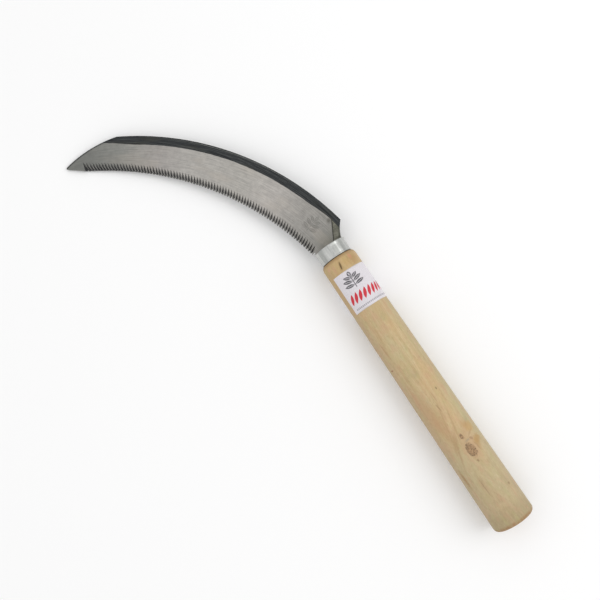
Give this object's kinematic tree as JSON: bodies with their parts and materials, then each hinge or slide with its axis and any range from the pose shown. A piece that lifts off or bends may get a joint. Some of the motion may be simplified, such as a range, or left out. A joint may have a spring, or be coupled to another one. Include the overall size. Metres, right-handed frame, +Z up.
{
  "type": "hand sickle",
  "caption": "Hand sickle with a curved saw-toothed steel blade, a metal ferrule and a turned wooden handle with a paper band.",
  "frame": {"origin": "centre of the bottom of the box around the tool as it lies on a table", "axes": "+X along the handle from the blade to the butt, +Z up out of the blade's ground face, -Y the side that the blade hooks towards"},
  "size_m": [0.3374, 0.127, 0.0271],
  "materials": {
    "blade_steel": "satin ground face, blackened band along the spine",
    "zinc_steel": "zinc plated, slightly brushed",
    "handle_wood": "bare sanded pale wood",
    "pin_steel": "darkened steel",
    "label_paper": "printed paper"
  },
  "bodies": {
    "root": {"blade": "blade_steel", "ferrule": "zinc_steel", "handle": "handle_wood", "tang_pin": "pin_steel", "label": "label_paper"}
  },
  "joints": []
}
